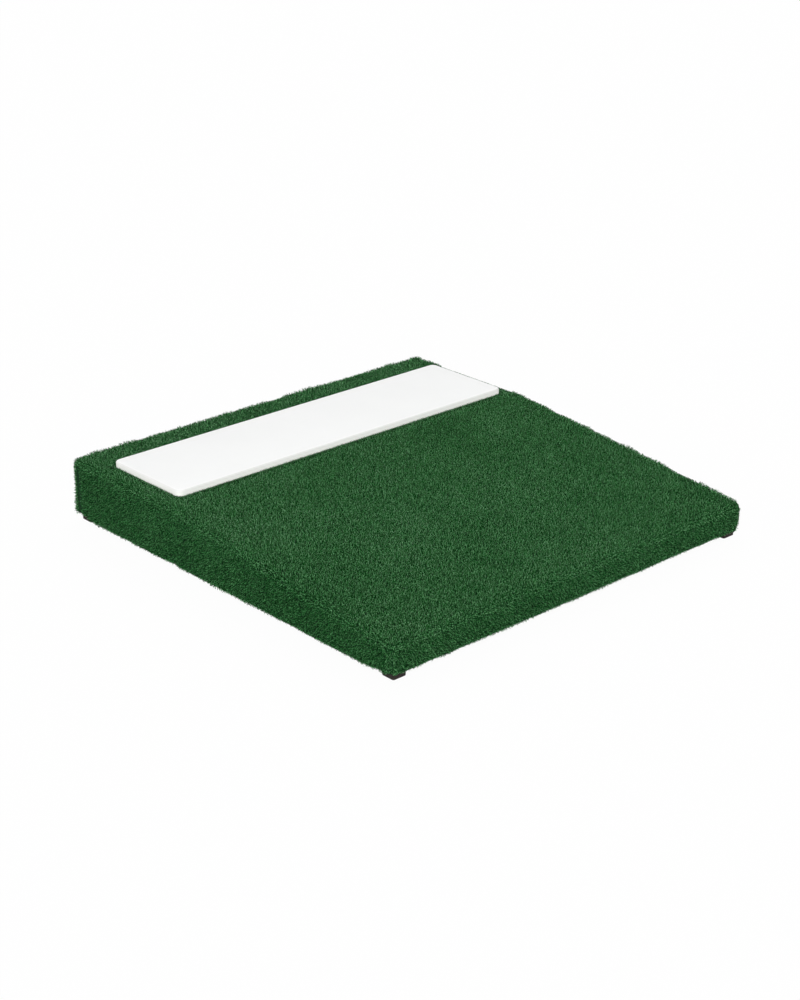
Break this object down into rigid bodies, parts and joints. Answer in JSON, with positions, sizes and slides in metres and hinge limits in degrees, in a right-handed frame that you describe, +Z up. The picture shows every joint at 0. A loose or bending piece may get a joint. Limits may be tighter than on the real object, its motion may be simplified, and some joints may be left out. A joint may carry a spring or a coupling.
{
  "type": "portable pitching mound",
  "caption": "Low wedge-shaped practice mound wrapped in green turf, with a level plateau, a white pitching rubber, a straight slope to a low front and rubber corner feet.",
  "frame": {"origin": "on the floor under the middle of the mound", "axes": "+Z up; the low front faces -Y and the plateau is at +Y; +X is to the right when looking from the front"},
  "size_m": [0.66, 0.67, 0.1035],
  "materials": {
    "green_turf": "curled green pile turf",
    "white_rubber": "smooth matt white rubber",
    "black_rubber": "matt moulded black rubber",
    "plywood": "bare birch plywood",
    "lumber": "planed softwood",
    "zinc_steel": "zinc-plated steel",
    "brass": "plain turned brass"
  },
  "bodies": {
    "root": {"back_rail": "lumber", "bolt_washer_back_left": "zinc_steel", "bolt_washer_back_right": "zinc_steel", "bolt_washer_front_left": "zinc_steel", "bolt_washer_front_right": "zinc_steel", "deck_screw_plateau_back_left": "zinc_steel", "deck_screw_plateau_back_right": "zinc_steel", "deck_screw_plateau_front_left": "zinc_steel", "deck_screw_plateau_front_right": "zinc_steel", "deck_screw_plateau_left_stringer": "zinc_steel", "deck_screw_plateau_right_stringer": "zinc_steel", "deck_screw_slope_back_left": "zinc_steel", "deck_screw_slope_back_right": "zinc_steel", "deck_screw_slope_front_left": "zinc_steel", "deck_screw_slope_front_right": "zinc_steel", "deck_screw_slope_left_stringer": "zinc_steel", "deck_screw_slope_right_stringer": "zinc_steel", "foot_back_left": "black_rubber", "foot_back_right": "black_rubber", "foot_front_left": "black_rubber", "foot_front_right": "black_rubber", "foot_screw_back_left": "zinc_steel", "foot_screw_back_right": "zinc_steel", "foot_screw_front_left": "zinc_steel", "foot_screw_front_right": "zinc_steel", "foot_washer_back_left": "zinc_steel", "foot_washer_back_right": "zinc_steel", "foot_washer_front_left": "zinc_steel", "foot_washer_front_right": "zinc_steel", "frame_screw_back_left_lower": "zinc_steel", "frame_screw_back_left_upper": "zinc_steel", "frame_screw_back_right_lower": "zinc_steel", "frame_screw_back_right_upper": "zinc_steel", "frame_screw_front_left": "zinc_steel", "frame_screw_front_right": "zinc_steel", "front_rail": "lumber", "left_ridge_block": "lumber", "left_side_rail": "lumber", "left_stringer": "lumber", "middle_ridge_block": "lumber", "pitching_rubber": "white_rubber", "plateau_panel": "plywood", "right_ridge_block": "lumber", "right_side_rail": "lumber", "right_stringer": "lumber", "rubber_bolt_back_left": "zinc_steel", "rubber_bolt_back_right": "zinc_steel", "rubber_bolt_front_left": "zinc_steel", "rubber_bolt_front_right": "zinc_steel", "rubber_insert_back_left": "brass", "rubber_insert_back_right": "brass", "rubber_insert_front_left": "brass", "rubber_insert_front_right": "brass", "slope_panel": "plywood", "stringer_screw_back_left": "zinc_steel", "stringer_screw_back_right": "zinc_steel", "stringer_screw_front_left": "zinc_steel", "stringer_screw_front_right": "zinc_steel", "turf_cover": "green_turf"}
  },
  "joints": []
}
